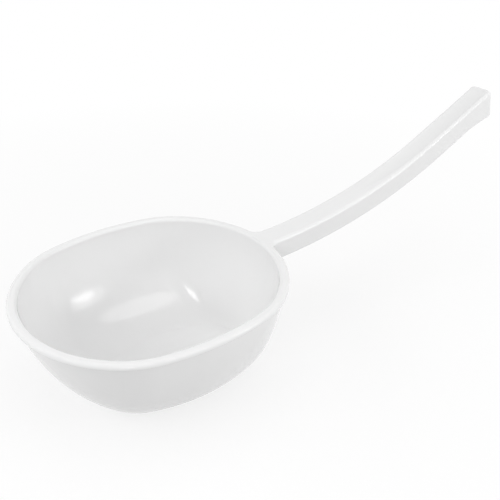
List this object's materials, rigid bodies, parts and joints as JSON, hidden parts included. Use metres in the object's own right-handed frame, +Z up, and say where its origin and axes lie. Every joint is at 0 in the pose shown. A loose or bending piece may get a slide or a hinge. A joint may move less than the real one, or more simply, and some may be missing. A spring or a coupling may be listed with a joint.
{
  "type": "water ladle",
  "caption": "One-piece plastic water ladle with a deep oval bowl, a flat lip round its mouth and a long handle that curves upwards.",
  "frame": {"origin": "on the flat face that the bowl stands on, straight below the middle of the mouth", "axes": "+X along the handle from the bowl to its tip, +Z up out of the mouth, +Y to the left of someone looking along +X"},
  "size_m": [0.3607, 0.1416, 0.1252],
  "materials": {
    "plastic": "gloss"
  },
  "bodies": {
    "root": {"water_ladle": "plastic"}
  },
  "joints": []
}
